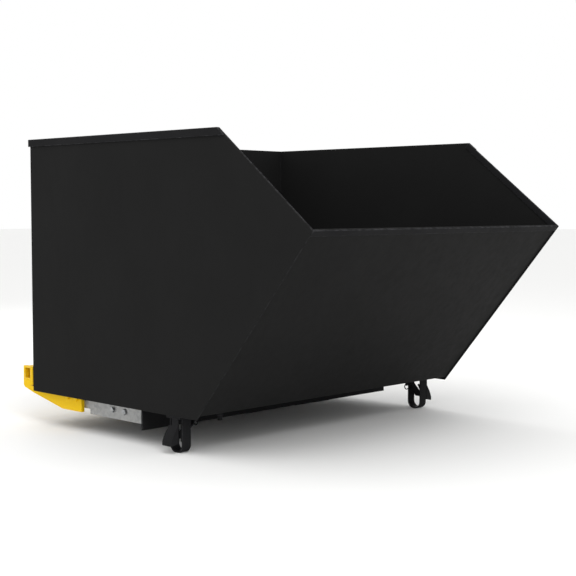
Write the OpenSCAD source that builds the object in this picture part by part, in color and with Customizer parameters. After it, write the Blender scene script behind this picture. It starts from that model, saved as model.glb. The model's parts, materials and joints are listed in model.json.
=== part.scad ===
// Self-dumping hopper for fork trucks: a black sheet-steel skip that tips forward on a low base.
// The base has fork pockets, galvanised side rails and a yellow rear frame with a latch.
// X runs across the width, the open lip faces -Y and +Z is up, in millimetres.
// The origin is the middle of the overall box, on the ground.
// Places inside the modules are measured from the foot of the back panel, at the skirt edge.

/* [Hopper body] */
// Height of the side panels
hopper_h = 1000; // [850:10:1250]
// Width over the side panels
hopper_w = 1410; // [1150:10:1700]
// Depth of the level top edge
top_depth = 1100; // [900:10:1350]
// Depth of the bottom edge of the side panels
bottom_depth = 987; // [930:1:1200]
// Reach of the lip from the back panel
lip_reach = 1535; // [1400:5:1850]
// Height of the lip above the skirt edge
lip_h = 660; // [540:5:800]
// Thickness of the hopper sheets
sheet_t = 4; // [3:0.5:6]
// Height of the floor above the skirt edge
floor_lift = 13; // [12:0.5:16]

/* [Rims and stiffeners] */
// Height of the flat bar round the level top edge
rim_h = 28; // [20:1:40]
// Thickness of that bar
rim_t = 6; // [4:1:8]
// Width of the bars along the sloping edges and the lip
edge_h = 24; // [16:1:36]
// Thickness of the bars along the sloping edges
edge_t = 4; // [3:1:8]
// Thickness of the bar outside the lip
lip_bar_t = 5; // [3:1:8]
// Width of the channels up the back panel
stiffener_w = 60; // [40:5:80]
// Depth of those channels
stiffener_d = 25; // [18:1:34]
// Distance of each channel from the middle
stiffener_x = 350; // [250:10:500]

/* [Front legs] */
// Drop from the skirt edge to the ground
leg_drop = 131; // [124:1:160]
// Distance of the legs behind the bottom front edge
leg_setback = 126; // [80:1:140]
// Width of the flat bar that the legs are bent from
strap_w = 40; // [32:1:48]
// Thickness of that flat bar
strap_t = 5; // [4:0.5:8]
// Distance of the leg loops inside the side panel
leg_inset = 14; // [10:1:20]
// Length of each leg loop from front to back
loop_l = 68; // [56:1:82]
// Outside bend radius of each leg loop
loop_r = 30; // [20:1:34]
// Reach of the guide fin outside the side panel
fin_reach = 32; // [24:1:40]
// Diameter of the lock plunger
plunger_d = 12; // [10:0.5:14]
// Outer diameter of its pull ring
ring_d = 25; // [22:1:30]
// Wire diameter of the pull ring
ring_wire = 4; // [3:0.5:5]

/* [Hinge] */
// Diameter of the hinge pins
hinge_d = 25; // [20:1:30]
// Wall of the bushes
bush_t = 3.5; // [3:0.5:4]
// Depth of the hinge line below the skirt edge
hinge_drop = 27; // [25:1:28]
// Distance of the hinge line behind the cross plate's face
hinge_setback = 30; // [28:1:31]
// Distance of each hinge lug inside the side panel
lug_inset = 200; // [110:5:260]
// Thickness of the hinge lugs
lug_t = 16; // [12:1:20]
// Thickness of the bracket cheeks
cheek_t = 10; // [8:1:14]

/* [Base] */
// Depth of the base from the back panel to the cross plate's face
base_depth = 665; // [620:5:760]
// Thickness of the cross plate
plate_t = 8; // [6:1:9]
// Depth of the cross plate's lower edge below the skirt edge
plate_drop = 79; // [76:1:90]
// Outside height of the fork pockets
pocket_h = 75; // [70:1:90]
// Outside width of the fork pockets
pocket_w = 210; // [170:5:240]
// Wall of the fork pockets
pocket_t = 5; // [4:0.5:8]
// Distance of each pocket's middle from the centre line
pocket_x = 225; // [190:5:300]
// Side of the square feet
foot_w = 80; // [60:5:100]
// Thickness of the foot plates
shoe_t = 8; // [6:1:12]
// Gap between the side panel and the rails' outer faces
rail_gap = 35; // [31:1:45]
// Thickness of the side rails
rail_t = 6; // [4:1:8]
// Depth of the rails' lower edge below the skirt edge
rail_drop = 59; // [56:1:70]
// Thickness of the flat cross members
member_t = 10; // [8:1:12]
// Diameter of the rubber rest pads
pad_d = 50; // [40:1:60]

/* [Rear frame] */
// Thickness of the yellow arms
arm_t = 14; // [8:1:18]
// Reach of the arms behind the back panel
rear_reach = 100; // [96:1:120]
// Reach of the arms in front of the back panel
arm_reach = 293; // [285:1:330]
// Height of the cross tube
tube_h = 53; // [45:1:58]
// Depth of the cross tube
tube_d = 48; // [42:1:52]
// Wall of the cross tube
tube_t = 6; // [4:1:8]
// Diameter of the frame bolts
bolt_d = 12; // [10:1:14]

/* [Latch] */
// Thickness of the latch hook
hook_t = 16; // [12:1:20]
// Diameter of the latch pin
latch_pin_d = 16; // [12:1:18]
// Diameter of the striker bar
striker_d = 14; // [10:1:15]
// Length of the release lever above the latch pin
lever_l = 230; // [160:10:300]
// Length of each handle grip
grip_l = 90; // [60:5:120]

/* [Hidden] */
$fn = 64;

// Running clearance of a pin in its hole, on the radius.
run_gap = 0.05;
// Clearance of a bolt in its hole, on the radius.
bolt_gap = 0.5;

half_w = hopper_w / 2;
inner_x = half_w - sheet_t;
// Place of the foot of the back panel in the part's own frame.
origin_y = (lip_reach - rear_reach) / 2;
origin_z = leg_drop;

// Unit vectors of the front slope and of the sloping top edge, in the side view.
lip = [-lip_reach, lip_h];
corner = [-top_depth, hopper_h];
front_run = [bottom_depth - lip_reach, lip_h];
front_up = front_run / norm(front_run);
front_in = [front_up[1], -front_up[0]];
edge_down = (lip - corner) / norm(lip - corner);
edge_in = [-edge_down[1], edge_down[0]];

leg_y = leg_setback - bottom_depth;
loop_x2 = half_w - leg_inset;
loop_x1 = loop_x2 - strap_w;
loop_y1 = leg_y - loop_l / 2;
loop_y2 = leg_y + loop_l / 2;
bend_r = min(loop_r, loop_l / 2 - 1);
leg_plate_t = 8;
brace_w = 45;
brace_h = 4;
plunger_z = -22;
guide_x2 = loop_x1 - 14;
guide_x1 = guide_x2 - 9;
guide_w = 18;
boss_l = 3;
ring_r = (ring_d - ring_wire) / 2;
ring_hole_r = ring_wire / 2 + 1;
ring_x = guide_x1 - 28;

hinge_y = hinge_setback - base_depth;
hinge_z = -hinge_drop;
lug_x = half_w - lug_inset;
lug_r = hinge_d / 2 + bush_t + 6;
bush_l = lug_t + 3.4;
cheek_x = bush_l / 2 + 0.3;
slot_gap = 4;

plate_y = plate_t - base_depth;
plate_top = -5;
pocket_top = pocket_h - plate_drop;
member_top = pocket_top + member_t;
rail_x = half_w - rail_gap;
arm_x = rail_x + arm_t;
plate_x = arm_x;
rail_notch = 20;
rail_notch_y = -arm_reach - 38;
rail_rear = 113 - arm_reach;
flange_w = 40;
end_plate_t = 8;
middle_y = -508;
rear_y = -45;
pad_x = 450;
foot_y = [-90, -360];
shoe_w = foot_w + 20;

tube_y = rear_reach - tube_d / 2 - 4;
tube_z = 37 + tube_h / 2;
head_h = 0.65 * bolt_d;
nut_h = 0.8 * bolt_d;
arm_bolts = [87 - arm_reach, 30 - arm_reach];
arm_top = floor_lift - 4;
arm_bolt_z = -3;
arm_cap = 2;
rail_bolts = [-471, -544];
rail_bolt_z = -26;

latch = [40, tube_z + tube_h / 2 + 22];
striker = [24, latch[1] + 30];
ear_x = 22;
ear_t = 8;
lever_lean = 10;
grip_r = 15;
rod_r = 8;

black = [0.13, 0.13, 0.13];
yellow = [0.90, 0.71, 0.10];
galvanised = [0.62, 0.62, 0.61];
zinc = [0.80, 0.80, 0.82];

// ---- helpers: every place is measured from the foot of the back panel ----

// An outline in the side view (y, z), from x1 to x2.
module slab_x(x1, x2)
    translate([x1, origin_y, origin_z]) rotate([90, 0, 90]) linear_extrude(x2 - x1) children();

// An outline in the front view (x, z), from y1 back to y2.
module slab_y(y1, y2)
    translate([0, origin_y + y2, origin_z]) rotate([90, 0, 0]) linear_extrude(y2 - y1) children();

// An outline in the top view (x, y), from z1 up to z2.
module slab_z(z1, z2)
    translate([0, origin_y, origin_z + z1]) linear_extrude(z2 - z1) children();

// A straight block between two corners.
module block(low, high)
    translate([low[0], origin_y + low[1], origin_z + low[2]]) cube(high - low);

// A round bar along X; at is its (y, z).
module bar_x(x1, x2, at, r)
    translate([x1, origin_y + at[0], origin_z + at[1]]) rotate([0, 90, 0]) cylinder(r = r, h = x2 - x1);

// What is drawn for the right side, mirrored to the left for side -1.
module on_side(side)
    if (side > 0) children();
    else mirror([1, 0, 0]) children();

// A rectangle from one corner to the other.
module box_2d(low, high) translate(low) square(high - low);

// A rectangle with its two lower corners rounded.
module cup_2d(x1, x2, z1, z2, r) {
    box_2d([x1, z1 + r], [x2, z2]);
    box_2d([x1 + r, z1], [x2 - r, z1 + 2 * r]);
    for (x = [x1 + r, x2 - r]) translate([x, z1 + r]) circle(r);
}

// Depth of the front slope at height z, moved inwards by inset.
function slope_y(inset, z) = -bottom_depth + front_run[0] / lip_h * z + inset / front_in[0];

// Point of a sloping-edge bar's end on the front panel's inner face, at distance w inside the edge.
function edge_end(w, inset) =
    let (start = corner + w * edge_in)
    start + edge_down * ((inset - front_in * (start - lip)) / (front_in * edge_down));

// ---- hopper ----

module side_panel(side) color(black) on_side(side)
    slab_x(inner_x, half_w)
        polygon([[0, 0], [0, hopper_h], corner, lip, [-bottom_depth, 0]]);

module back_panel() color(black)
    block([-inner_x, -sheet_t, floor_lift], [inner_x, 0, hopper_h]);

module floor_panel() color(black) {
    inset = lip_bar_t + sheet_t;
    top = floor_lift + sheet_t;
    difference() {
        slab_x(-inner_x, inner_x)
            polygon([[-sheet_t, floor_lift], [-sheet_t, top], [slope_y(inset, top), top],
                     [slope_y(inset, floor_lift), floor_lift]]);
        drain_bore();
    }
}

module front_panel() color(black) {
    inset = lip_bar_t + sheet_t;
    slab_x(-inner_x, inner_x)
        polygon([[slope_y(lip_bar_t, floor_lift), floor_lift], lip + lip_bar_t * front_in,
                 lip + inset * front_in, [slope_y(inset, floor_lift), floor_lift]]);
}

module top_rim(side) color(black) on_side(side)
    slab_x(half_w, half_w + rim_t)
        polygon([[0, hopper_h - rim_h], [0, hopper_h], corner,
                 corner + edge_down * (rim_h / -edge_down[1])]);

module top_rim_back() color(black)
    block([-half_w - rim_t, 0, hopper_h - rim_h], [half_w + rim_t, rim_t, hopper_h]);

module edge_bar(side) color(black) on_side(side) {
    inset = lip_bar_t + sheet_t;
    slab_x(inner_x - edge_t, inner_x)
        polygon([corner, edge_end(0, inset), edge_end(edge_h, inset), corner + edge_h * edge_in]);
}

module lip_bar() color(black)
    slab_x(-inner_x, inner_x)
        polygon([lip, lip + lip_bar_t * front_in, lip + lip_bar_t * front_in - edge_h * front_up,
                 lip - edge_h * front_up]);

// An upright channel with its open side against the back panel.
module back_stiffener(side) color(black) on_side(side)
    slab_z(floor_lift, hopper_h - rim_h - 6)
        difference() {
            box_2d([stiffener_x - stiffener_w / 2, 0], [stiffener_x + stiffener_w / 2, stiffener_d]);
            box_2d([stiffener_x - stiffener_w / 2 + sheet_t, -1],
                   [stiffener_x + stiffener_w / 2 - sheet_t, stiffener_d - sheet_t]);
        }

// Flat bar under the floor that carries the front legs.
module front_bearer() color(black)
    block([-inner_x, loop_y1 - 3, 0], [inner_x, loop_y2 + 3, floor_lift]);

module hinge_lug(side) color(black) on_side(side)
    slab_x(lug_x - lug_t / 2, lug_x + lug_t / 2)
        difference() {
            union() {
                box_2d([hinge_y - lug_r, hinge_z], [hinge_y + lug_r, floor_lift]);
                translate([hinge_y, hinge_z]) circle(lug_r);
            }
            translate([hinge_y, hinge_z]) circle(hinge_d / 2 + bush_t);
        }

module hinge_bush(side) color([0.72, 0.53, 0.28]) on_side(side)
    difference() {
        bar_x(lug_x - bush_l / 2, lug_x + bush_l / 2, [hinge_y, hinge_z], hinge_d / 2 + bush_t);
        bar_x(lug_x - bush_l, lug_x + bush_l, [hinge_y, hinge_z], hinge_d / 2 + run_gap);
    }

// Bar across two ears, which the latch hook holds down.
striker_ear_x = hook_t / 2 + 6;
module latch_striker() color(black) {
    for (side = [-1, 1]) on_side(side)
        slab_x(striker_ear_x, striker_ear_x + 8) {
            box_2d([0, striker[1] - 12], [striker[0], striker[1] + 12]);
            translate(striker) circle(12);
        }
    bar_x(-striker_ear_x - 4, striker_ear_x + 4, striker, striker_d / 2);
}

// ---- drain ----
drain = [-548, -934];
drain_r = 7;
module drain_bore()
    translate([drain[0], origin_y + drain[1], origin_z - 40]) cylinder(r = drain_r, h = 80);

module drain_socket() color(black)
    difference() {
        slab_z(-6, floor_lift) translate(drain) circle(drain_r + 5);
        drain_bore();
    }

module drain_plug() color(black) {
    slab_z(-6, floor_lift) translate(drain) circle(drain_r - run_gap);
    slab_z(-24, -6) translate(drain) circle(drain_r + 2, $fn = 6);
}

// ---- front legs ----

// Plate under the skirt with the lug and boss that guide the lock plunger.
module leg_bracket(side) color(black) on_side(side)
    difference() {
        union() {
            block([ring_x - 6, loop_y1 - 3, -leg_plate_t], [half_w, loop_y2 + 3, 0]);
            block([guide_x1, leg_y - guide_w / 2, -42], [guide_x2, leg_y + guide_w / 2, -leg_plate_t]);
            bar_x(guide_x2, guide_x2 + boss_l, [leg_y, plunger_z], plunger_d / 2 + 2.5);
        }
        bar_x(ring_x, loop_x2, [leg_y, plunger_z], plunger_d / 2 + run_gap);
    }

// Flat bar bent into a deep U, open to both sides of the hopper.
module leg_loop(side) color(black) on_side(side)
    slab_x(loop_x1, loop_x2)
        difference() {
            cup_2d(loop_y1, loop_y2, -leg_drop, -leg_plate_t, bend_r);
            cup_2d(loop_y1 + strap_t, loop_y2 - strap_t, strap_t - leg_drop, 1, bend_r - strap_t);
        }

// Slanting flat bar through the loop; its upper end passes in front of the plunger's lug.
module leg_brace(side) color(black) on_side(side) {
    front = loop_y1 + strap_t + 0.2;
    end = loop_x2 - 7;
    fall = 33 - guide_x2;
    slab_y(front, loop_y1 + strap_t + brace_w)
        polygon([[guide_x2, -fall - guide_x2], [guide_x2, -fall - guide_x2 - brace_h], [end - 2, -fall - end - 2],
                 [end, -fall - end]]);
    slab_y(front, leg_y - guide_w / 2 - 0.5)
        polygon([[guide_x2, -fall - guide_x2], [guide_x2, -fall - guide_x2 - brace_h],
                 [leg_plate_t - fall - brace_h, -leg_plate_t], [leg_plate_t - fall, -leg_plate_t]]);
}

// Guide fin outside the loop: a bent plate with a web at its front edge.
module leg_fin(side) color(black) on_side(side) {
    tip = half_w + fin_reach;
    knee = half_w + 2;
    waist = knee + 0.66 * (tip - knee);
    slab_y(loop_y1 + strap_t + 2, leg_y + 4)
        box_2d([knee - 6, -37], [knee, -leg_plate_t]);
    slab_y(loop_y1 + strap_t + 2, leg_y + 21)
        polygon([[knee, -33], [waist, -63], [tip, -87], [tip, -101], [tip - 6, -101], [tip - 6, -89],
                 [waist - 6, -66], [knee - 6, -36]]);
    slab_y(loop_y1 + strap_t + 2, loop_y1 + strap_t + 8)
        polygon([[knee - 4, -leg_plate_t], [knee - 3, -leg_plate_t], [knee - 3, -35], [waist - 3, -65],
                 [tip - 3, -88], [tip - 3, -101], [knee - 4, -94]]);
}

// Round plunger with a flattened tail that is cross-drilled for the pull ring.
module lock_plunger(side) color(black) on_side(side)
    difference() {
        union() {
            bar_x(ring_x + 8, guide_x2 + boss_l + 2, [leg_y, plunger_z], plunger_d / 2);
            intersection() {
                bar_x(ring_x - 5, ring_x + 9, [leg_y, plunger_z], plunger_d / 2);
                block([ring_x - 6, leg_y - 3, plunger_z - 20], [ring_x + 10, leg_y + 3, plunger_z + 20]);
            }
        }
        translate([ring_x, origin_y + leg_y + 10, origin_z + plunger_z])
            rotate([90, 0, 0]) cylinder(r = ring_hole_r, h = 20);
    }

module pull_ring(side) color(black) on_side(side)
    translate([ring_x, origin_y + leg_y, origin_z + plunger_z - ring_r])
        rotate([0, 90, 0]) rotate_extrude() translate([ring_r, 0]) circle(ring_wire / 2, $fn = 24);

// ---- base ----

module cross_plate() color(black)
    slab_y(-base_depth, plate_y)
        difference() {
            box_2d([-plate_x, -plate_drop], [plate_x, plate_top]);
            for (side = [-1, 1])
                translate([side * lug_x - bush_l / 2 - slot_gap, hinge_z - lug_r - slot_gap])
                    square([bush_l + 2 * slot_gap, 100]);
        }

module fork_pocket(side) color(black) on_side(side)
    slab_y(plate_y, 0)
        difference() {
            box_2d([pocket_x - pocket_w / 2, -plate_drop], [pocket_x + pocket_w / 2, pocket_top]);
            box_2d([pocket_x - pocket_w / 2 + pocket_t, pocket_t - plate_drop],
                   [pocket_x + pocket_w / 2 - pocket_t, pocket_top - pocket_t]);
        }

// A short square tube on a wider shoe plate.
module foot(side, y) color(black) on_side(side) {
    slab_z(shoe_t - leg_drop, -plate_drop) translate([pocket_x, y])
        difference() {
            square(foot_w, center = true);
            square(foot_w - 10, center = true);
        }
    slab_z(-leg_drop, shoe_t - leg_drop) translate([pocket_x, y]) square(shoe_w, center = true);
}

// Angle with a step in its lower edge, where it goes behind the yellow arm.
module side_rail(side) color(galvanised) on_side(side)
    difference() {
        union() {
            slab_x(rail_x - rail_t, rail_x)
                polygon([[plate_y, member_top], [rail_rear, member_top], [rail_rear, rail_notch - rail_drop],
                         [rail_notch_y, rail_notch - rail_drop], [rail_notch_y, -rail_drop],
                         [plate_y, -rail_drop]]);
            block([rail_x - flange_w, plate_y, -rail_drop],
                  [rail_x - rail_t, rail_notch_y, rail_t - rail_drop]);
        }
        rail_bolt_holes();
        arm_bolt_holes();
    }

module rail_bolt_holes()
    for (y = rail_bolts) bar_x(rail_x - 40, rail_x + 1, [y, rail_bolt_z], bolt_d / 2 + bolt_gap);

module arm_bolt_holes()
    for (y = arm_bolts) bar_x(rail_x - 40, arm_x + 1, [y, arm_bolt_z], bolt_d / 2 + bolt_gap);

// Flat bar across the pockets with an end plate bolted to each rail.
module middle_member() color(galvanised) {
    end_x = rail_x - rail_t;
    block([end_plate_t - end_x, middle_y - 33, pocket_top], [end_x - end_plate_t, middle_y + 33, member_top]);
    for (side = [-1, 1]) on_side(side)
        difference() {
            block([end_x - end_plate_t, middle_y - 65, rail_t - rail_drop], [end_x, middle_y + 65, member_top]);
            rail_bolt_holes();
        }
}

module rear_member() color(galvanised)
    block([-rail_x, rear_y - 25, pocket_top], [rail_x, rear_y + 25, member_top]);

module rest_pads() color([0.07, 0.07, 0.07])
    for (x = [-pad_x, pad_x], y = [rear_y, middle_y])
        slab_z(member_top, floor_lift) translate([x, y]) circle(d = pad_d);

// Two cheeks and a tie plate behind the cross plate.
module hinge_bracket(side) color(black) on_side(side) {
    front = plate_y;
    rear = hinge_y + 23;
    for (x = [lug_x - cheek_x - cheek_t, lug_x + cheek_x])
        difference() {
            block([x, front, -60], [x + cheek_t, rear, -6]);
            bar_x(x - 1, x + cheek_t + 1, [hinge_y, hinge_z], hinge_d / 2 + run_gap);
        }
    block([lug_x - cheek_x, front, -60], [lug_x + cheek_x, rear, hinge_z - lug_r - 3]);
}

split_pin_x = 5;
split_pin_r = 2;
module hinge_pin(side) color(zinc) on_side(side) {
    cheek_out = cheek_x + cheek_t;
    difference() {
        union() {
            bar_x(lug_x - cheek_out - 10, lug_x + cheek_out, [hinge_y, hinge_z], hinge_d / 2);
            bar_x(lug_x + cheek_out, lug_x + cheek_out + 8, [hinge_y, hinge_z], hinge_d / 2 + 6);
        }
        translate([lug_x - cheek_out - split_pin_x, origin_y + hinge_y, origin_z + hinge_z - hinge_d])
            cylinder(r = split_pin_r + run_gap, h = 2 * hinge_d);
    }
}

// A split pin through the end of each hinge pin, with its eye below.
module hinge_split_pins() color(zinc)
    for (side = [-1, 1]) on_side(side)
        translate([lug_x - cheek_x - cheek_t - split_pin_x, origin_y + hinge_y, origin_z + hinge_z]) {
            translate([0, 0, -hinge_d / 2 - 2]) cylinder(r = split_pin_r, h = hinge_d + 8);
            translate([0, 0, -hinge_d / 2 - 5.5])
                rotate([0, 90, 0]) rotate_extrude() translate([4, 0]) circle(1.5, $fn = 24);
        }

// ---- rear frame and latch ----

// Side view of an arm: level at the front, rising to the rear, then upright round the tube.
module frame_arm(side) color(yellow) on_side(side) {
    r = 16;
    difference() {
        slab_x(rail_x, arm_x) {
            polygon([[-arm_reach, arm_top], [-arm_reach, -55], [-168, -55], [rear_reach - 69, -12],
                     [rear_reach - r, 3], [rear_reach - r, arm_top + 11], [10, arm_top]]);
            box_2d([rear_reach - 64, arm_top + 7], [rear_reach, tube_z + tube_h / 2 + arm_cap]);
            translate([rear_reach - r, arm_top + 10]) circle(r);
        }
        slab_x(rail_x - 1, arm_x + 1)
            box_2d([tube_y - tube_d / 2, tube_z - tube_h / 2], [tube_y + tube_d / 2, tube_z + tube_h / 2]);
        arm_bolt_holes();
    }
}

module cross_tube() color(yellow)
    slab_x(-arm_x, arm_x)
        difference() {
            box_2d([tube_y - tube_d / 2, tube_z - tube_h / 2], [tube_y + tube_d / 2, tube_z + tube_h / 2]);
            box_2d([tube_y - tube_d / 2 + tube_t, tube_z - tube_h / 2 + tube_t],
                   [tube_y + tube_d / 2 - tube_t, tube_z + tube_h / 2 - tube_t]);
        }

// Hexagon bolts through the rails; inside is where each nut bears.
module frame_bolt(at, outside, inside) {
    bar_x(outside, outside + head_h, at, 0.9 * bolt_d, $fn = 6);
    bar_x(inside - nut_h - 3, outside, at, bolt_d / 2);
}

module frame_bolts() color(zinc)
    for (side = [-1, 1]) on_side(side) {
        for (y = arm_bolts) frame_bolt([y, arm_bolt_z], arm_x, rail_x - rail_t);
        for (y = rail_bolts) frame_bolt([y, rail_bolt_z], rail_x, rail_x - rail_t - end_plate_t);
    }

module frame_nut(at, inside)
    difference() {
        bar_x(inside - nut_h, inside, at, 0.9 * bolt_d, $fn = 6);
        bar_x(inside - nut_h - 1, inside + 1, at, bolt_d / 2);
    }

module frame_nuts() color(zinc)
    for (side = [-1, 1]) on_side(side) {
        for (y = arm_bolts) frame_nut([y, arm_bolt_z], rail_x - rail_t);
        for (y = rail_bolts) frame_nut([y, rail_bolt_z], rail_x - rail_t - end_plate_t);
    }

// Two ears on a base plate that sits on the cross tube.
module latch_bracket() color(yellow) {
    tube_top = tube_z + tube_h / 2;
    block([-ear_x - ear_t - 6, tube_y - tube_d / 2, tube_top], [ear_x + ear_t + 6, tube_y + tube_d / 2, tube_top + 6]);
    for (side = [-1, 1]) on_side(side)
        difference() {
            slab_x(ear_x, ear_x + ear_t) {
                polygon([[tube_y - tube_d / 2, tube_top + 5], [tube_y + 16, tube_top + 5],
                         [latch[0], latch[1] + 14], [latch[0] - 12, latch[1] - 8]]);
                translate(latch) circle(14);
            }
            bar_x(ear_x - 1, ear_x + ear_t + 1, latch, latch_pin_d / 2 + run_gap);
        }
}

module latch_pin() color(zinc) {
    bar_x(-ear_x - ear_t - 4, ear_x + ear_t, latch, latch_pin_d / 2);
    bar_x(ear_x + ear_t, ear_x + ear_t + 5, latch, latch_pin_d / 2 + 4);
}

// Hook plate over the striker bar, with the lever and its cross rod.
module latch_lever() color(black) {
    top = [latch[0] + lever_l * sin(lever_lean), latch[1] + lever_l * cos(lever_lean)];
    nose = striker[1] + striker_d / 2 + 2;
    difference() {
        union() {
            slab_x(-hook_t / 2, hook_t / 2) {
                translate(latch) circle(15);
                polygon([[latch[0] - 7, latch[1]], [latch[0] - 7, nose], [striker[0] - 9, nose],
                         [striker[0] - 9, nose - 5], [striker[0] - 14, nose - 5], [striker[0] - 14, nose + 8],
                         [latch[0] - 2, nose + 16], [top[0] - 8, top[1]], [top[0] + 8, top[1]],
                         [latch[0] + 14, latch[1]]]);
                translate(top) circle(12);
            }
            bar_x(-hook_t / 2 - grip_l, hook_t / 2 + grip_l, top, rod_r);
        }
        bar_x(-hook_t, hook_t, latch, latch_pin_d / 2 + run_gap);
    }
}

module lever_grips() color([0.07, 0.07, 0.07]) {
    top = [latch[0] + lever_l * sin(lever_lean), latch[1] + lever_l * cos(lever_lean)];
    for (side = [-1, 1]) on_side(side)
        difference() {
            bar_x(hook_t / 2 + 4, hook_t / 2 + grip_l, top, grip_r);
            bar_x(hook_t / 2 + 3, hook_t / 2 + grip_l + 1, top, rod_r);
        }
}

// Torsion spring round the latch pin, swept as a helix of round wire.
spring_wire = 2.4;
spring_turns = 4;
spring_steps = 18;
spring_sides = 8;
module latch_spring() color(zinc) {
    mean_r = latch_pin_d / 2 + spring_wire / 2 + 1;
    rings = spring_turns * spring_steps;
    low = hook_t / 2 + spring_wire / 2 + 0.8;
    pitch = (ear_x - spring_wire / 2 - 0.8 - low) / spring_turns;
    points = [for (i = [0 : rings], j = [0 : spring_sides - 1])
        let (turn = 360 * i / spring_steps, side = 360 * j / spring_sides,
             r = mean_r + spring_wire / 2 * cos(side))
        [low + pitch * turn / 360 + spring_wire / 2 * sin(side), r * cos(turn), r * sin(turn)]];
    walls = [for (i = [0 : rings - 1], j = [0 : spring_sides - 1])
        let (k = (j + 1) % spring_sides, a = i * spring_sides, b = a + spring_sides)
        [a + j, a + k, b + k, b + j]];
    near_end = [for (j = [0 : spring_sides - 1]) spring_sides - 1 - j];
    far_end = [for (j = [0 : spring_sides - 1]) rings * spring_sides + j];
    translate([0, origin_y + latch[0], origin_z + latch[1]])
        polyhedron(points, concat(walls, [near_end, far_end]));
}

side_panel(-1);  // side_panel_left
side_panel(1);  // side_panel_right
back_panel();
floor_panel();
front_panel();
top_rim(-1);  // top_rim_left
top_rim(1);  // top_rim_right
top_rim_back();
edge_bar(-1);  // edge_bar_left
edge_bar(1);  // edge_bar_right
lip_bar();
back_stiffener(-1);  // back_stiffener_left
back_stiffener(1);  // back_stiffener_right
front_bearer();
hinge_lug(-1);  // hinge_lug_left
hinge_lug(1);  // hinge_lug_right
hinge_bush(-1);  // hinge_bush_left
hinge_bush(1);  // hinge_bush_right
latch_striker();
drain_socket();
drain_plug();
leg_bracket(-1);  // leg_bracket_left
leg_bracket(1);  // leg_bracket_right
leg_loop(-1);  // leg_loop_left
leg_loop(1);  // leg_loop_right
leg_brace(-1);  // leg_brace_left
leg_brace(1);  // leg_brace_right
leg_fin(-1);  // leg_fin_left
leg_fin(1);  // leg_fin_right
lock_plunger(-1);  // lock_plunger_left
lock_plunger(1);  // lock_plunger_right
pull_ring(-1);  // pull_ring_left
pull_ring(1);  // pull_ring_right
cross_plate();
fork_pocket(-1);  // fork_pocket_left
fork_pocket(1);  // fork_pocket_right
foot(-1, foot_y[1]);  // foot_front_left
foot(1, foot_y[1]);  // foot_front_right
foot(-1, foot_y[0]);  // foot_rear_left
foot(1, foot_y[0]);  // foot_rear_right
side_rail(-1);  // side_rail_left
side_rail(1);  // side_rail_right
middle_member();
rear_member();
rest_pads();
hinge_bracket(-1);  // hinge_bracket_left
hinge_bracket(1);  // hinge_bracket_right
hinge_pin(-1);  // hinge_pin_left
hinge_pin(1);  // hinge_pin_right
hinge_split_pins();
frame_arm(-1);  // frame_arm_left
frame_arm(1);  // frame_arm_right
cross_tube();
frame_bolts();
frame_nuts();
latch_bracket();
latch_pin();
latch_lever();
lever_grips();
latch_spring();
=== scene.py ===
"""Self-dumping hopper for fork trucks, dressed for rendering.

A black sheet-steel body tips forward on a low base with fork pockets, galvanised side rails
and a yellow rear frame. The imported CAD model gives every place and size. This script rounds
the edges of its plates, adds weld beads, bolt heads and grips, and gives each piece its finish.
"""

import json
import logging
import math
from dataclasses import dataclass
from enum import Enum
from typing import Any, Callable, Iterable, Sequence

import bmesh
import bpy
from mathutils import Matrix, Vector

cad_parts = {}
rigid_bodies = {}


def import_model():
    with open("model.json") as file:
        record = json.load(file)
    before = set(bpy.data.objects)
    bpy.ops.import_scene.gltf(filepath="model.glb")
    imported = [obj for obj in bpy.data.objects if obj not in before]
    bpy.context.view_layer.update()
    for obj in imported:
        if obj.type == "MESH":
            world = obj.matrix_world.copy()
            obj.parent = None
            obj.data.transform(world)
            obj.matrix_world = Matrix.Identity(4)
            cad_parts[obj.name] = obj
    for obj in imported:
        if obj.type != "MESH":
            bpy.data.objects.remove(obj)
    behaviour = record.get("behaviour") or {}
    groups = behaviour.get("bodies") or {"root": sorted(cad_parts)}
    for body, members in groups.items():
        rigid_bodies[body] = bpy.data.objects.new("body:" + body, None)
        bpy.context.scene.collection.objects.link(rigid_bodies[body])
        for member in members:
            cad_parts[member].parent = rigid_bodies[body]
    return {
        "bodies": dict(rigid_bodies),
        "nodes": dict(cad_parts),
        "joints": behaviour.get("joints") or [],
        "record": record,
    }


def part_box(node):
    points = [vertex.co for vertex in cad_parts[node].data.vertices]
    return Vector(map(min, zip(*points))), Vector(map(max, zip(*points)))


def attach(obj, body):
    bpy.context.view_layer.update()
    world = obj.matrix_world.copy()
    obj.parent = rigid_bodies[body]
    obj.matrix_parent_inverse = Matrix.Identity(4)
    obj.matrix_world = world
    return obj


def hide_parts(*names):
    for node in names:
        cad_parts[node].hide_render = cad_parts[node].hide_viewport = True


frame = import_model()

log = logging.getLogger("hopper")
MM = 0.001


class Body(Enum):
    """Rigid bodies of the CAD model that pieces ride on."""

    BASE = "base"
    HOPPER = "hopper"
    LATCH = "latch"


class Side(Enum):
    """Left and right of the hopper, with the sign of X there."""

    LEFT = -1
    RIGHT = 1

    def node(self, stem: str) -> str:
        """Name of the CAD node of this side."""
        return f"{stem}_{self.name.lower()}"


# ---- node trees ----


def add(
    tree: bpy.types.NodeTree,
    kind: str,
    settings: dict[Any, Any] | None = None,
    links: dict[Any, bpy.types.NodeSocket] | None = None,
) -> bpy.types.Node:
    """Add one node with its settings and links.

    Args:
        tree: Tree that gets the node.
        kind: Blender's name of the node type.
        settings: Values by property name, or by the name or index of an input socket.
        links: Output sockets by the name or index of the input that they feed.

    Returns:
        The new node.
    """
    node = tree.nodes.new(kind)
    for key, value in (settings or {}).items():
        if isinstance(key, str) and hasattr(node, key):
            setattr(node, key, value)
        else:
            node.inputs[key].default_value = value
    for key, source in (links or {}).items():
        tree.links.new(source, node.inputs[key])
    return node


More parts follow.
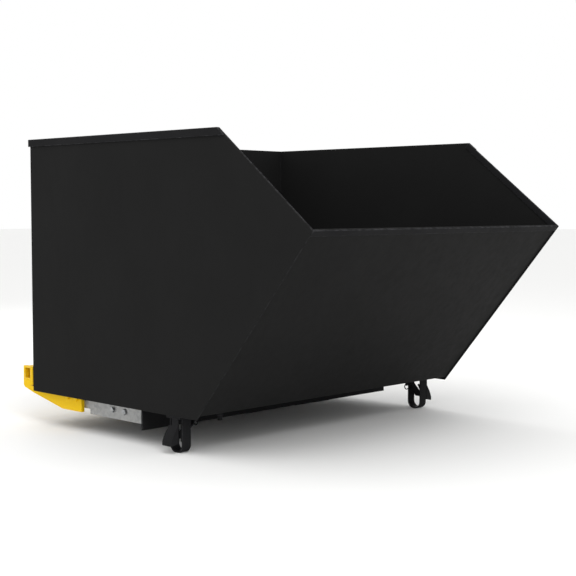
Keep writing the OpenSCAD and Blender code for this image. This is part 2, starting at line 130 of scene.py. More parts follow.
def linear(hex_colour: str) -> tuple[float, float, float, float]:
    """Turn an sRGB hex colour into linear red, green, blue and alpha.

    Args:
        hex_colour: Six hex digits, with or without a leading hash.

    Returns:
        Linear colour with alpha 1.
    """
    digits = hex_colour.lstrip("#")
    parts = [int(digits[i : i + 2], 16) / 255 for i in (0, 2, 4)]
    return (*[p / 12.92 if p <= 0.04045 else ((p + 0.055) / 1.055) ** 2.4 for p in parts], 1.0)


def per_metre(size_mm: float) -> float:
    """Texture scale whose features are about size_mm across."""
    return 1 / (size_mm * MM)


# ---- finishes ----


@dataclass(frozen=True)
class PowderCoat:
    """Baked polyester powder coat on steel: an even, slightly pebbled semi-gloss skin.

    Large sheets also carry a slow wave from rolling and welding, which bends reflections.
    Handling leaves faint dull rubs, and edges wear to a paler line.
    """

    name: str
    colour: str
    faded: str
    worn: str
    slot: str
    roughness: float = 0.46
    specular: float = 0.02
    wave_mm: float = 0.25
    rub: float = 0.2

    def material(self) -> bpy.types.Material:
        """Build the coat's material, or return the one already built.

        Returns:
            The material.
        """
        made = bpy.data.materials.get(self.name)
        if made:
            return made
        made = bpy.data.materials.new(self.name)
        made.use_nodes = True
        tree = made.node_tree
        shader = tree.nodes["Principled BSDF"]
        where = add(tree, "ShaderNodeTexCoord").outputs["Object"]
        # Patches some 300 mm across where the coat has gone slightly paler.
        patch = add(
            tree, "ShaderNodeTexNoise", {"Scale": per_metre(300), "Detail": 4.0, "Roughness": 0.55},
            {"Vector": where},
        )
        fade = add(
            tree, "ShaderNodeMapRange", {"From Min": 0.35, "From Max": 0.7}, {"Value": patch.outputs["Fac"]}
        )
        coat = add(
            tree, "ShaderNodeMix", {"data_type": "RGBA", 6: linear(self.colour), 7: linear(self.faded)},
            {0: fade.outputs["Result"]},
        )
        # Rubs run mostly down the sheets, so their noise is drawn out along Z.
        stretch = add(tree, "ShaderNodeMapping", {"Scale": (1.0, 1.0, 0.22)}, {"Vector": where})
        rubs = add(
            tree, "ShaderNodeTexNoise", {"Scale": per_metre(26), "Detail": 7.0, "Roughness": 0.68},
            {"Vector": stretch.outputs["Vector"]},
        )
        rub = add(
            tree, "ShaderNodeMapRange", {"From Min": 0.58, "From Max": 0.74, "To Max": self.rub},
            {"Value": rubs.outputs["Fac"]},
        )
        rubbed = add(
            tree, "ShaderNodeMix", {"data_type": "RGBA", 7: linear(self.faded)},
            {0: rub.outputs["Result"], 6: coat.outputs[2]},
        )
        # The rounded edges carry their own mark; chips along them are 10 to 20 mm long.
        edge = add(tree, "ShaderNodeAttribute", {"attribute_name": "edge"})
        chips = add(tree, "ShaderNodeTexNoise", {"Scale": per_metre(16), "Detail": 3.0}, {"Vector": where})
        chip = add(
            tree, "ShaderNodeMapRange", {"From Min": 0.4, "From Max": 0.62}, {"Value": chips.outputs["Fac"]}
        )
        wear = add(
            tree, "ShaderNodeMath", {"operation": "MULTIPLY"},
            {0: edge.outputs["Fac"], 1: chip.outputs["Result"]},
        )
        worn = add(
            tree, "ShaderNodeMix", {"data_type": "RGBA", 7: linear(self.worn)},
            {0: wear.outputs["Value"], 6: rubbed.outputs[2]},
        )
        gloss = add(
            tree, "ShaderNodeMapRange",
            {
                "From Min": 0.3, "From Max": 0.75,
                "To Min": self.roughness - 0.05, "To Max": self.roughness + 0.12,
            },
            {"Value": rubs.outputs["Fac"]},
        )
        # The coat's pebbles are about 1.5 mm across; they are drawn at 3 mm, the least that shows.
        pebbles = add(tree, "ShaderNodeTexNoise", {"Scale": per_metre(3), "Detail": 2.0}, {"Vector": where})
        waves = add(tree, "ShaderNodeTexNoise", {"Scale": per_metre(240), "Detail": 1.0}, {"Vector": where})
        wave = add(
            tree, "ShaderNodeBump", {"Strength": 1.0, "Distance": self.wave_mm * MM},
            {"Height": waves.outputs["Fac"]},
        )
        skin = add(
            tree, "ShaderNodeBump", {"Strength": 0.25, "Distance": 0.08 * MM},
            {"Height": pebbles.outputs["Fac"], "Normal": wave.outputs["Normal"]},
        )
        shader.inputs["Specular IOR Level"].default_value = self.specular
        tree.links.new(worn.outputs[2], shader.inputs["Base Color"])
        tree.links.new(gloss.outputs["Result"], shader.inputs["Roughness"])
        tree.links.new(skin.outputs["Normal"], shader.inputs["Normal"])
        return made


@dataclass(frozen=True)
class Galvanised:
    """Hot-dip galvanised steel: dull grey zinc with spangles, crystals 8 to 15 mm across."""

    name: str = "hot_dip_galvanised_steel"
    light: str = "A6A6A5"
    dark: str = "8F9090"
    slot: str = "galvanised"
    spangle_mm: float = 11.0
    roughness: float = 0.45

    def material(self) -> bpy.types.Material:
        """Build the zinc's material, or return the one already built.

        Returns:
            The material.
        """
        made = bpy.data.materials.get(self.name)
        if made:
            return made
        made = bpy.data.materials.new(self.name)
        made.use_nodes = True
        tree = made.node_tree
        shader = tree.nodes["Principled BSDF"]
        where = add(tree, "ShaderNodeTexCoord").outputs["Object"]
        crystals = add(tree, "ShaderNodeTexVoronoi", {"Scale": per_metre(self.spangle_mm)}, {"Vector": where})
        tone = add(tree, "ShaderNodeSeparateColor", {}, {"Color": crystals.outputs["Color"]})
        stain = add(tree, "ShaderNodeTexNoise", {"Scale": per_metre(90), "Detail": 5.0}, {"Vector": where})
        blend = add(
            tree, "ShaderNodeMath", {"operation": "MULTIPLY_ADD", 1: 0.55},
            {0: tone.outputs["Red"], 2: stain.outputs["Fac"]},
        )
        share = add(
            tree, "ShaderNodeMapRange", {"From Min": 0.35, "From Max": 1.15},
            {"Value": blend.outputs["Value"]},
        )
        zinc = add(
            tree, "ShaderNodeMix", {"data_type": "RGBA", 6: linear(self.light), 7: linear(self.dark)},
            {0: share.outputs["Result"]},
        )
        gloss = add(
            tree, "ShaderNodeMapRange", {"To Min": self.roughness - 0.08, "To Max": self.roughness + 0.12},
            {"Value": tone.outputs["Green"]},
        )
        # Each crystal stands a few hundredths of a millimetre off its neighbours.
        relief = add(
            tree, "ShaderNodeBump", {"Strength": 0.4, "Distance": 0.05 * MM}, {"Height": tone.outputs["Blue"]}
        )
        shader.inputs["Metallic"].default_value = 0.85
        tree.links.new(zinc.outputs[2], shader.inputs["Base Color"])
        tree.links.new(gloss.outputs["Result"], shader.inputs["Roughness"])
        tree.links.new(relief.outputs["Normal"], shader.inputs["Normal"])
        return made


@dataclass(frozen=True)
class MachinedMetal:
    """Turned or drawn metal with fine marks round it, such as zinc-plated steel or bronze."""

    name: str
    colour: str
    dull: str
    slot: str
    roughness: float = 0.3
    mark_mm: float = 1.6

    def material(self) -> bpy.types.Material:
        """Build the metal's material, or return the one already built.

        Returns:
            The material.
        """
        made = bpy.data.materials.get(self.name)
        if made:
            return made
        made = bpy.data.materials.new(self.name)
        made.use_nodes = True
        tree = made.node_tree
        shader = tree.nodes["Principled BSDF"]
        where = add(tree, "ShaderNodeTexCoord").outputs["Object"]
        # Tool marks lie across the X axis, the axis of every turned piece here.
        across = add(tree, "ShaderNodeMapping", {"Scale": (1.0, 0.08, 0.08)}, {"Vector": where})
        marks = add(
            tree, "ShaderNodeTexNoise", {"Scale": per_metre(self.mark_mm), "Detail": 3.0},
            {"Vector": across.outputs["Vector"]},
        )
        film = add(tree, "ShaderNodeTexNoise", {"Scale": per_metre(14), "Detail": 4.0}, {"Vector": where})
        share = add(
            tree, "ShaderNodeMapRange", {"From Min": 0.4, "From Max": 0.7}, {"Value": film.outputs["Fac"]}
        )
        metal = add(
            tree, "ShaderNodeMix", {"data_type": "RGBA", 6: linear(self.colour), 7: linear(self.dull)},
            {0: share.outputs["Result"]},
        )
        gloss = add(
            tree, "ShaderNodeMapRange", {"To Min": self.roughness - 0.06, "To Max": self.roughness + 0.14},
            {"Value": marks.outputs["Fac"]},
        )
        relief = add(
            tree, "ShaderNodeBump", {"Strength": 0.3, "Distance": 0.03 * MM}, {"Height": marks.outputs["Fac"]}
        )
        shader.inputs["Metallic"].default_value = 1.0
        tree.links.new(metal.outputs[2], shader.inputs["Base Color"])
        tree.links.new(gloss.outputs["Result"], shader.inputs["Roughness"])
        tree.links.new(relief.outputs["Normal"], shader.inputs["Normal"])
        return made


@dataclass(frozen=True)
class MouldedRubber:
    """Black moulded rubber: matt, with a grey bloom and a fine grain from the mould."""

    name: str = "moulded_black_rubber"
    colour: str = "151515"
    bloom: str = "2A2A29"
    slot: str = "rubber"
    roughness: float = 0.78

    def material(self) -> bpy.types.Material:
        """Build the rubber's material, or return the one already built.

        Returns:
            The material.
        """
        made = bpy.data.materials.get(self.name)
        if made:
            return made
        made = bpy.data.materials.new(self.name)
        made.use_nodes = True
        tree = made.node_tree
        shader = tree.nodes["Principled BSDF"]
        where = add(tree, "ShaderNodeTexCoord").outputs["Object"]
        haze = add(tree, "ShaderNodeTexNoise", {"Scale": per_metre(30), "Detail": 5.0}, {"Vector": where})
        share = add(
            tree, "ShaderNodeMapRange", {"From Min": 0.4, "From Max": 0.75}, {"Value": haze.outputs["Fac"]}
        )
        body = add(
            tree, "ShaderNodeMix", {"data_type": "RGBA", 6: linear(self.colour), 7: linear(self.bloom)},
            {0: share.outputs["Result"]},
        )
        grain = add(tree, "ShaderNodeTexNoise", {"Scale": per_metre(1.2), "Detail": 2.0}, {"Vector": where})
        relief = add(
            tree, "ShaderNodeBump", {"Strength": 0.5, "Distance": 0.1 * MM}, {"Height": grain.outputs["Fac"]}
        )
        shader.inputs["Roughness"].default_value = self.roughness
        tree.links.new(body.outputs[2], shader.inputs["Base Color"])
        tree.links.new(relief.outputs["Normal"], shader.inputs["Normal"])
        return made


Finish = PowderCoat | Galvanised | MachinedMetal | MouldedRubber

BLACK_SHEET = PowderCoat("black_powder_coat_on_sheet", "1D1D1D", "1F1F1F", "343435", "black_paint")
BLACK_BAR = PowderCoat("black_powder_coat_on_bar", "1D1D1E", "212122", "3E3E40", "black_paint", wave_mm=0.1)
YELLOW = PowderCoat(
    "yellow_powder_coat", "E9BE0B", "EBC01A", "F0D480", "yellow_paint",
    roughness=0.36, specular=0.06, wave_mm=0.1, rub=0.15,
)
GALVANISED = Galvanised()
ZINC = MachinedMetal("zinc_plated_steel", "A9ABAD", "919395", "zinc", roughness=0.34)
BRONZE = MachinedMetal("sintered_bronze", "B8874A", "96703F", "bronze", roughness=0.4)
RUBBER = MouldedRubber()


# ---- meshes ----


def settle(
    name: str, mesh: bpy.types.Mesh, finish: Finish, body: Body, replaced: Sequence[str] = ()
) -> bpy.types.Object:
    """Put a finished mesh in the scene, with its finish and the body that it rides on.

    Args:
        name: Name of the piece.
        mesh: Its mesh, in the model's frame.
        finish: Its finish.
        body: The CAD body that it moves with.
        replaced: CAD nodes that it stands for.

    Returns:
        The new object.
    """
    piece = bpy.data.objects.new(name, mesh)
    bpy.context.scene.collection.objects.link(piece)
    mesh.materials.clear()
    mesh.materials.append(finish.material())
    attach(piece, body.value)
    if replaced:
        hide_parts(*replaced)
    return piece


def merged_copy(node: str) -> bmesh.types.BMesh:
    """Copy a CAD node's loose triangles into one closed mesh with flat faces joined.

    Args:
        node: Name of the CAD node.

    Returns:
        The closed mesh.
    """
    shape = bmesh.new()
    shape.from_mesh(frame["nodes"][node].data)
    bmesh.ops.remove_doubles(shape, verts=shape.verts, dist=0.01 * MM)
    bmesh.ops.dissolve_limit(
        shape, angle_limit=math.radians(0.5), verts=shape.verts, edges=shape.edges, delimit={"NORMAL"}
    )
    return shape


def rounded(node: str, radius_mm: float, finish: Finish, body: Body) -> bpy.types.Object:
    """Replace a CAD node by a copy whose sharp edges are rounded and marked for wear.

    Args:
        node: Name of the CAD node.
        radius_mm: Width of the rounding.
        finish: Finish of the copy.
        body: The CAD body that it moves with.

    Returns:
        The new piece.
    """
    shape = merged_copy(node)
    mark = shape.faces.layers.float.new("edge")
    sharp = [e for e in shape.edges if len(e.link_faces) == 2 and e.calc_face_angle(0.0) > math.radians(35)]
    made = bmesh.ops.bevel(
        shape, geom=sharp, offset=radius_mm * MM, offset_type="OFFSET", segments=2, profile=0.5,
        affect="EDGES", clamp_overlap=True,
    )
    for face in made["faces"]:
        face[mark] = 1.0
    mesh = bpy.data.meshes.new(f"{node}_finished")
    shape.to_mesh(mesh)
    shape.free()
    mesh.shade_smooth()
    mesh.set_sharp_from_angle(angle=math.radians(48))
    host = bpy.data.objects.new(f"{node}_host", mesh)
    bpy.context.scene.collection.objects.link(host)
    weigh = host.modifiers.new("even_faces", "WEIGHTED_NORMAL")
    weigh.keep_sharp = True
    graph = bpy.context.evaluated_depsgraph_get()
    smooth = bpy.data.meshes.new_from_object(host.evaluated_get(graph), depsgraph=graph)
    smooth.name = f"{node}_finished"
    bpy.data.objects.remove(host)
    return settle(f"{node}_finished", smooth, finish, body, [node])


def plain(node: str, finish: Finish) -> None:
    """Give a CAD node its finish and leave its shape as it is."""
    piece = frame["nodes"][node]
    piece.data.materials.clear()
    piece.data.materials.append(finish.material())


def islands(node: str) -> list[tuple[Vector, Vector]]:
    """Find the separate solids of a CAD node.

    Args:
        node: Name of the CAD node.

    Returns:
        Lowest and highest corner of each solid, ordered by place.
    """
    shape = merged_copy(node)
    left = set(shape.verts)
    found = []
    while left:
        group, edge = set(), [left.pop()]
        while edge:
            vertex = edge.pop()
            group.add(vertex)
            for link in vertex.link_edges:
                other = link.other_vert(vertex)
                if other in left:
                    left.discard(other)
                    edge.append(other)
        low = Vector([min(v.co[i] for v in group) for i in range(3)])
        high = Vector([max(v.co[i] for v in group) for i in range(3)])
        found.append((low, high))
    shape.free()
    return sorted(found, key=lambda box: tuple(box[0]))


def side_outline(node: str) -> list[Vector]:
    """Corners of a prism along X, in its side view.

    Args:
        node: Name of the CAD node.

    Returns:
        Each corner once, as (0, y, z), from the lowest up and from the front back.
    """
    seen: dict[tuple[int, int], Vector] = {}
    for vertex in frame["nodes"][node].data.vertices:
        key = (round(vertex.co.z * 20000), round(vertex.co.y * 20000))
        seen.setdefault(key, Vector((0.0, vertex.co.y, vertex.co.z)))
    return [seen[key] for key in sorted(seen)]


def socket(
    tree: bpy.types.NodeTree, name: str, kind: str, default: float | int | None = None, out: bool = False
) -> None:
    """Add an input or output to a tree's outside.

    Args:
        tree: The tree.
        name: Name of the socket.
        kind: Blender's name of the socket type.
        default: Value when nothing is set.
        out: True for an output.
    """
    made = tree.interface.new_socket(name=name, in_out="OUTPUT" if out else "INPUT", socket_type=kind)
    if default is not None:
        made.default_value = default


def send_out(tree: bpy.types.NodeTree, made: bpy.types.NodeSocket, finish: bpy.types.NodeSocket) -> None:
    """End a tree: turn its copies into one mesh, give it its finish and send it out.

    Args:
        tree: The tree.
        made: Socket that gives the geometry.
        finish: Socket that gives the finish.
    """
    real = add(tree, "GeometryNodeRealizeInstances", {}, {"Geometry": made})
    dressed = add(
        tree, "GeometryNodeSetMaterial", {}, {"Geometry": real.outputs["Geometry"], "Material": finish}
    )
    add(tree, "NodeGroupOutput", {}, {"Geometry": dressed.outputs["Geometry"]})


def ripple_tree() -> bpy.types.NodeTree:
    """Geometry Nodes tree that sweeps a rippled round bar along the edges of a mesh.

    Weld beads, ribbed grips and screw threads are all such bars.

    Returns:
        The tree, with inputs Radius, Pitch, Depth, Steps, Sides and Finish.
    """
    tree = bpy.data.node_groups.get("rippled_bar")
    if tree:
        return tree
    tree = bpy.data.node_groups.new("rippled_bar", "GeometryNodeTree")
    socket(tree, "Geometry", "NodeSocketGeometry")
    socket(tree, "Radius", "NodeSocketFloat", 0.003)
    socket(tree, "Pitch", "NodeSocketFloat", 0.006)
    socket(tree, "Depth", "NodeSocketFloat", 0.2)
    socket(tree, "Steps", "NodeSocketInt", 4)
    socket(tree, "Sides", "NodeSocketInt", 8)
    socket(tree, "Finish", "NodeSocketMaterial")
    socket(tree, "Geometry", "NodeSocketGeometry", out=True)
    given = add(tree, "NodeGroupInput")
    line = add(tree, "GeometryNodeMeshToCurve", {}, {"Mesh": given.outputs["Geometry"]})
    step = add(
        tree, "ShaderNodeMath", {"operation": "DIVIDE"},
        {0: given.outputs["Pitch"], 1: given.outputs["Steps"]},
    )
    fine = add(
        tree, "GeometryNodeResampleCurve", {"mode": "LENGTH"},
        {"Curve": line.outputs["Curve"], "Length": step.outputs["Value"]},
    )
    along = add(tree, "GeometryNodeSplineParameter")
    turns = add(
        tree, "ShaderNodeMath", {"operation": "DIVIDE"},
        {0: along.outputs["Length"], 1: given.outputs["Pitch"]},
    )
    angle = add(tree, "ShaderNodeMath", {"operation": "MULTIPLY", 1: math.pi}, {0: turns.outputs["Value"]})
    wave = add(tree, "ShaderNodeMath", {"operation": "SINE"}, {0: angle.outputs["Value"]})
    bump = add(tree, "ShaderNodeMath", {"operation": "ABSOLUTE"}, {0: wave.outputs["Value"]})
    dip = add(tree, "ShaderNodeMath", {"operation": "SUBTRACT", 0: 1.0}, {1: bump.outputs["Value"]})
    cut = add(
        tree, "ShaderNodeMath", {"operation": "MULTIPLY"},
        {0: dip.outputs["Value"], 1: given.outputs["Depth"]},
    )
    share = add(tree, "ShaderNodeMath", {"operation": "SUBTRACT", 0: 1.0}, {1: cut.outputs["Value"]})
    radius = add(
        tree, "ShaderNodeMath", {"operation": "MULTIPLY"},
        {0: share.outputs["Value"], 1: given.outputs["Radius"]},
    )
    sized = add(
        tree, "GeometryNodeSetCurveRadius", {},
        {"Curve": fine.outputs["Curve"], "Radius": radius.outputs["Value"]},
    )
    ring = add(
        tree, "GeometryNodeCurvePrimitiveCircle", {"Radius": 1.0}, {"Resolution": given.outputs["Sides"]}
    )
    sweep = add(
        tree, "GeometryNodeCurveToMesh", {"Fill Caps": True},
        {"Curve": sized.outputs["Curve"], "Profile Curve": ring.outputs["Curve"]},
    )
    if "Scale" in sweep.inputs:
        tree.links.new(radius.outputs["Value"], sweep.inputs["Scale"])
    send_out(tree, sweep.outputs["Mesh"], given.outputs["Finish"])
    return tree


def copies_tree() -> bpy.types.NodeTree:
    """Geometry Nodes tree that sets a copy of a pattern piece at every point of a mesh.

    Each point's "turn" attribute holds the copy's rotation.

    Returns:
        The tree, with inputs Pattern and Finish.
    """
    tree = bpy.data.node_groups.get("copies_at_points")
    if tree:
        return tree
    tree = bpy.data.node_groups.new("copies_at_points", "GeometryNodeTree")
    socket(tree, "Geometry", "NodeSocketGeometry")
    socket(tree, "Pattern", "NodeSocketObject")
    socket(tree, "Finish", "NodeSocketMaterial")
    socket(tree, "Geometry", "NodeSocketGeometry", out=True)
    given = add(tree, "NodeGroupInput")
    pattern = add(tree, "GeometryNodeObjectInfo", {}, {"Object": given.outputs["Pattern"]})
    turn = add(tree, "GeometryNodeInputNamedAttribute", {"data_type": "FLOAT_VECTOR", "Name": "turn"})
    spin = add(tree, "FunctionNodeEulerToRotation", {}, {"Euler": turn.outputs["Attribute"]})
    placed = add(
        tree, "GeometryNodeInstanceOnPoints", {},
        {
            "Points": given.outputs["Geometry"], "Instance": pattern.outputs["Geometry"],
            "Rotation": spin.outputs["Rotation"],
        },
    )
    send_out(tree, placed.outputs["Instances"], given.outputs["Finish"])
    return tree


def grown(
    name: str,
    seed: bpy.types.Mesh,
    tree: bpy.types.NodeTree,
    values: dict[str, Any],
    finish: Finish,
    body: Body,
    replaced: Sequence[str] = (),
) -> bpy.types.Object:
    """Run a Geometry Nodes tree on a mesh and keep the plain result.

    Args:
        name: Name of the piece.
        seed: Mesh that the tree starts from.
        tree: The tree.
        values: Values by the names of the tree's inputs.
        finish: Finish of the piece.
        body: The CAD body that it moves with.
        replaced: CAD nodes that it stands for.

    Returns:
        The new piece.
    """
    host = bpy.data.objects.new(f"{name}_host", seed)
    bpy.context.scene.collection.objects.link(host)
    grow = host.modifiers.new("grow", "NODES")
    grow.node_group = tree
    given = {**values, "Finish": finish.material()}
    for item in tree.interface.items_tree:
        if item.item_type == "SOCKET" and item.in_out == "INPUT" and item.name in given:
            grow[item.identifier] = given[item.name]
    graph = bpy.context.evaluated_depsgraph_get()
    mesh = bpy.data.meshes.new_from_object(host.evaluated_get(graph), depsgraph=graph)
    mesh.name = name
    bpy.data.objects.remove(host)
    mesh.shade_smooth()
    mesh.set_sharp_from_angle(angle=math.radians(40))
    return settle(name, mesh, finish, body, replaced)


def paths(name: str, lines: Iterable[Sequence[Vector]]) -> bpy.types.Mesh:
    """Make a mesh of bare edges.

    Args:
        name: Name of the mesh.
        lines: Points of each line, in order.

    Returns:
        The mesh.
    """
    points: list[Vector] = []
    edges: list[tuple[int, int]] = []
    for line in lines:
        first = len(points)
        points.extend(line)
        edges.extend((first + i, first + i + 1) for i in range(len(line) - 1))
    mesh = bpy.data.meshes.new(name)
    mesh.from_pydata([tuple(p) for p in points], edges, [])
    return mesh


@dataclass(frozen=True)
class Weld:
    """A fillet weld laid by hand: a half-round bead with the ripples of its pool.

    The ripples of such a bead are 2 to 3 mm apart; they are drawn at 7 mm, the least that shows.
    """

    radius_mm: float = 3.0
    ripple_mm: float = 7.0
    depth: float = 0.28

    def lay(
        self, name: str, lines: Iterable[Sequence[Vector]], finish: Finish, body: Body
    ) -> bpy.types.Object:
        """Lay beads along lines.

        Args:
            name: Name of the piece.
            lines: Points of each bead's line.
            finish: Finish over the bead.
            body: The CAD body that it moves with.

        Returns:
            The beads as one piece.
        """
        values = {
            "Radius": self.radius_mm * MM, "Pitch": self.ripple_mm * MM, "Depth": self.depth,
            "Steps": 3, "Sides": 7,
        }
        return grown(name, paths(name, lines), ripple_tree(), values, finish, body)


def stitches(start: Vector, end: Vector, length_mm: float, gap_mm: float) -> list[list[Vector]]:
    """Divide a seam into short beads with gaps between them.

    Args:
        start: Start of the seam.
        end: End of the seam.
        length_mm: Length of each bead.
        gap_mm: Least gap between beads.

    Returns:
        The line of each bead.
    """
    run = end - start
    count = max(1, int((run.length / MM + gap_mm) / (length_mm + gap_mm)))
    way = run.normalized()
    spare = run.length - count * length_mm * MM
    gap = spare / (count + 1)
    lines = []
    for i in range(count):
        first = start + way * (gap + i * (gap + length_mm * MM))
        lines.append([first, first + way * length_mm * MM])
    return lines


# ---- sub-assemblies ----


@dataclass(frozen=True)
class HopperBody:
    """The sheet-steel body with its rims, stiffeners, hinge lugs, striker and drain."""

    sheet_edge_mm: float = 1.0
    bar_edge_mm: float = 1.5
    plug_edge_mm: float = 1.0
    bush_edge_mm: float = 0.5
    seam: Weld = Weld(2.6)
    outside_seam: Weld = Weld(1.6)
    stitch: Weld = Weld(2.2)
    fitting: Weld = Weld(2.4)
    stitch_mm: float = 40.0
    rim_gap_mm: float = 150.0
    bar_gap_mm: float = 110.0
    corner_gap_mm: float = 4.0
    rim_front_gap_mm: float = 45.0
    rim_rear_gap_mm: float = 10.0
    seam_past_rim_mm: float = 20.0
    # How far in from its outer sides the striker's beads lie.
    striker_beads_mm: tuple[float, float] = (4.0, 12.0)

    def dress(self) -> None:
        """Round and paint the plates and bars."""
        for node in ("side_panel_left", "side_panel_right", "back_panel", "front_panel", "floor_panel"):
            rounded(node, self.sheet_edge_mm, BLACK_SHEET, Body.HOPPER)
        bars = [
            "top_rim_left", "top_rim_right", "top_rim_back", "edge_bar_left", "edge_bar_right", "lip_bar",
            "back_stiffener_left", "back_stiffener_right", "front_bearer", "hinge_lug_left",
            "hinge_lug_right", "latch_striker", "drain_socket",
        ]
        for node in bars:
            rounded(node, self.bar_edge_mm, BLACK_BAR, Body.HOPPER)
        rounded("drain_plug", self.plug_edge_mm, BLACK_BAR, Body.HOPPER)
        for side in Side:
            rounded(side.node("hinge_bush"), self.bush_edge_mm, BRONZE, Body.HOPPER)

    def weld(self) -> None:
        """Lay the beads in the corners, inside and outside."""
        floor_low, floor_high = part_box("floor_panel")
        back_low, back_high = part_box("back_panel")
        rim_low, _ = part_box("top_rim_left")
        front = side_outline("front_panel")
        outer_foot, inner_foot = front[0], front[1]
        lip_corners = sorted(front[2:], key=lambda p: p.z)[-2:]
        outer_lip, inner_lip = sorted(lip_corners, key=lambda p: p.y)
        inner = floor_high.x
        lip_low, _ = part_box("lip_bar")
        stop = (lip_low.z - outer_foot.z) / (outer_lip.z - outer_foot.z)
        gap = self.corner_gap_mm * MM
        inside, outside = [], []
        for side in Side:
            shift = Vector((side.value * inner, 0, 0))
            foot = Vector((shift.x, back_low.y, floor_high.z))
            toe = Vector((shift.x, inner_foot.y, floor_high.z))
            inside += [
                [foot, toe, inner_lip + shift],
                [foot + Vector((0, 0, gap)), Vector((shift.x, back_low.y, back_high.z - gap))],
            ]
            outside.append([outer_foot + shift, outer_foot.lerp(outer_lip, stop - 0.006) + shift])
            heel = Vector((shift.x, back_high.y, floor_low.z))
            outside.append([heel, Vector((shift.x, back_high.y, rim_low.z + self.seam_past_rim_mm * MM))])
        across = inner - gap
        for y in (back_low.y, inner_foot.y):
            inside.append([Vector((-across, y, floor_high.z)), Vector((across, y, floor_high.z))])
        self.seam.lay("body_seams_inside", inside, BLACK_BAR, Body.HOPPER)
        self.outside_seam.lay("body_seams_outside", outside, BLACK_BAR, Body.HOPPER)
        self._stitch_bars(back_high, inner)

    def _stitch_bars(self, back_high: Vector, inner: float) -> None:
        """Lay the short beads under the rims and beside the stiffeners.

        Args:
            back_high: Highest corner of the back panel.
            inner: Half the width inside the body.
        """
        lines: list[list[Vector]] = []
        for side in Side:
            low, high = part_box(side.node("top_rim"))
            panel_low, panel_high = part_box(side.node("side_panel"))
            face = panel_low.x if side is Side.LEFT else panel_high.x
            front = Vector((face, low.y + self.rim_front_gap_mm * MM, low.z))
            rear = Vector((face, high.y - self.rim_rear_gap_mm * MM, low.z))
            lines += stitches(front, rear, self.stitch_mm, self.rim_gap_mm)
            bar_low, bar_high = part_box(side.node("back_stiffener"))
            for x in (bar_low.x, bar_high.x):
                foot = Vector((x, back_high.y, bar_low.z))
                head = Vector((x, back_high.y, bar_high.z))
                lines += stitches(foot, head, self.stitch_mm, self.bar_gap_mm)
        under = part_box("top_rim_back")[0].z
        left, right = (Vector((x, back_high.y, under)) for x in (-inner, inner))
        lines += stitches(left, right, self.stitch_mm, self.rim_gap_mm)
        self.stitch.lay("body_stitches", lines, BLACK_BAR, Body.HOPPER)

    def weld_fittings(self) -> None:
        """Lay the beads beside the hinge lugs and the striker's ears and round the drain socket."""
        lines: list[list[Vector]] = []
        floor_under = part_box("floor_panel")[0].z
        for side in Side:
            low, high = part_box(side.node("hinge_lug"))
            for x in (low.x, high.x):
                lines.append([Vector((x, low.y, floor_under)), Vector((x, high.y, floor_under))])
        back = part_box("back_panel")[1].y
        low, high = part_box("latch_striker")
        for inset_mm in self.striker_beads_mm:
            for x in (low.x + inset_mm * MM, -low.x - inset_mm * MM):
                lines.append([Vector((x, back, low.z)), Vector((x, back, high.z))])
        low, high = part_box("drain_socket")
        middle = (low + high) / 2
        radius = (high.x - low.x) / 2
        steps = 24
        angles = [math.tau * i / steps for i in range(steps + 1)]
        lines.append(
            [
                Vector((middle.x + radius * math.cos(a), middle.y + radius * math.sin(a), floor_under))
                for a in angles
            ]
        )
        self.fitting.lay("body_fitting_welds", lines, BLACK_BAR, Body.HOPPER)


@dataclass(frozen=True)
class FrontLegs:
    """Two bent-bar legs with their braces, fins, plungers and pull rings."""

    edge_mm: float = 1.0
    bead: Weld = Weld(1.8, 6.0)
    fin_top_gap_mm: float = 2.0
    fin_foot_gap_mm: float = 12.0
    plate_mm: float = 8.0

    def dress(self) -> None:
        """Round and paint the bars, and paint the plungers and rings."""
        for side in Side:
            for stem in ("leg_loop", "leg_brace", "leg_fin", "leg_bracket"):
                rounded(side.node(stem), self.edge_mm, BLACK_BAR, Body.HOPPER)
            plain(side.node("lock_plunger"), BLACK_BAR)
            plain(side.node("pull_ring"), BLACK_BAR)

    def weld(self) -> None:
        """Lay the beads between each leg's bars and under its plate."""
        lines: list[list[Vector]] = []
        for side in Side:
            loop_low, loop_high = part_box(side.node("leg_loop"))
            fin_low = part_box(side.node("leg_fin"))[0]
            under = loop_high.z
            for y in (loop_low.y, loop_high.y):
                lines.append([Vector((loop_low.x, y, under)), Vector((loop_high.x, y, under))])
            outer = loop_high.x if side is Side.RIGHT else loop_low.x
            top = Vector((outer, fin_low.y, under - self.fin_top_gap_mm * MM))
            lines.append([top, Vector((outer, fin_low.y, fin_low.z + self.fin_foot_gap_mm * MM))])
            skirt = loop_high.z + self.plate_mm * MM
            panel_low, panel_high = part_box(side.node("side_panel"))
            face = panel_high.x if side is Side.RIGHT else panel_low.x
            lines.append([Vector((face, loop_low.y, skirt)), Vector((face, loop_high.y, skirt))])
        self.bead.lay("leg_welds", lines, BLACK_BAR, Body.HOPPER)


@dataclass(frozen=True)
class HingeLine:
    """Brackets, pins and split pins that the body tips on."""

    edge_mm: float = 1.2
    bead: Weld = Weld(2.6)

    def dress(self) -> None:
        """Round and paint the brackets, and plate the pins."""
        for side in Side:
            rounded(side.node("hinge_bracket"), self.edge_mm, BLACK_BAR, Body.BASE)
            rounded(side.node("hinge_pin"), self.edge_mm, ZINC, Body.BASE)
        plain("hinge_split_pins", ZINC)

    def weld(self) -> None:
        """Lay the beads between the brackets' cheeks and the cross plate."""
        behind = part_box("cross_plate")[1].y
        lines = []
        for side in Side:
            low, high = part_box(side.node("hinge_bracket"))
            for x in (low.x, high.x):
                lines.append([Vector((x, behind, low.z)), Vector((x, behind, high.z))])
        self.bead.lay("hinge_welds", lines, BLACK_BAR, Body.BASE)


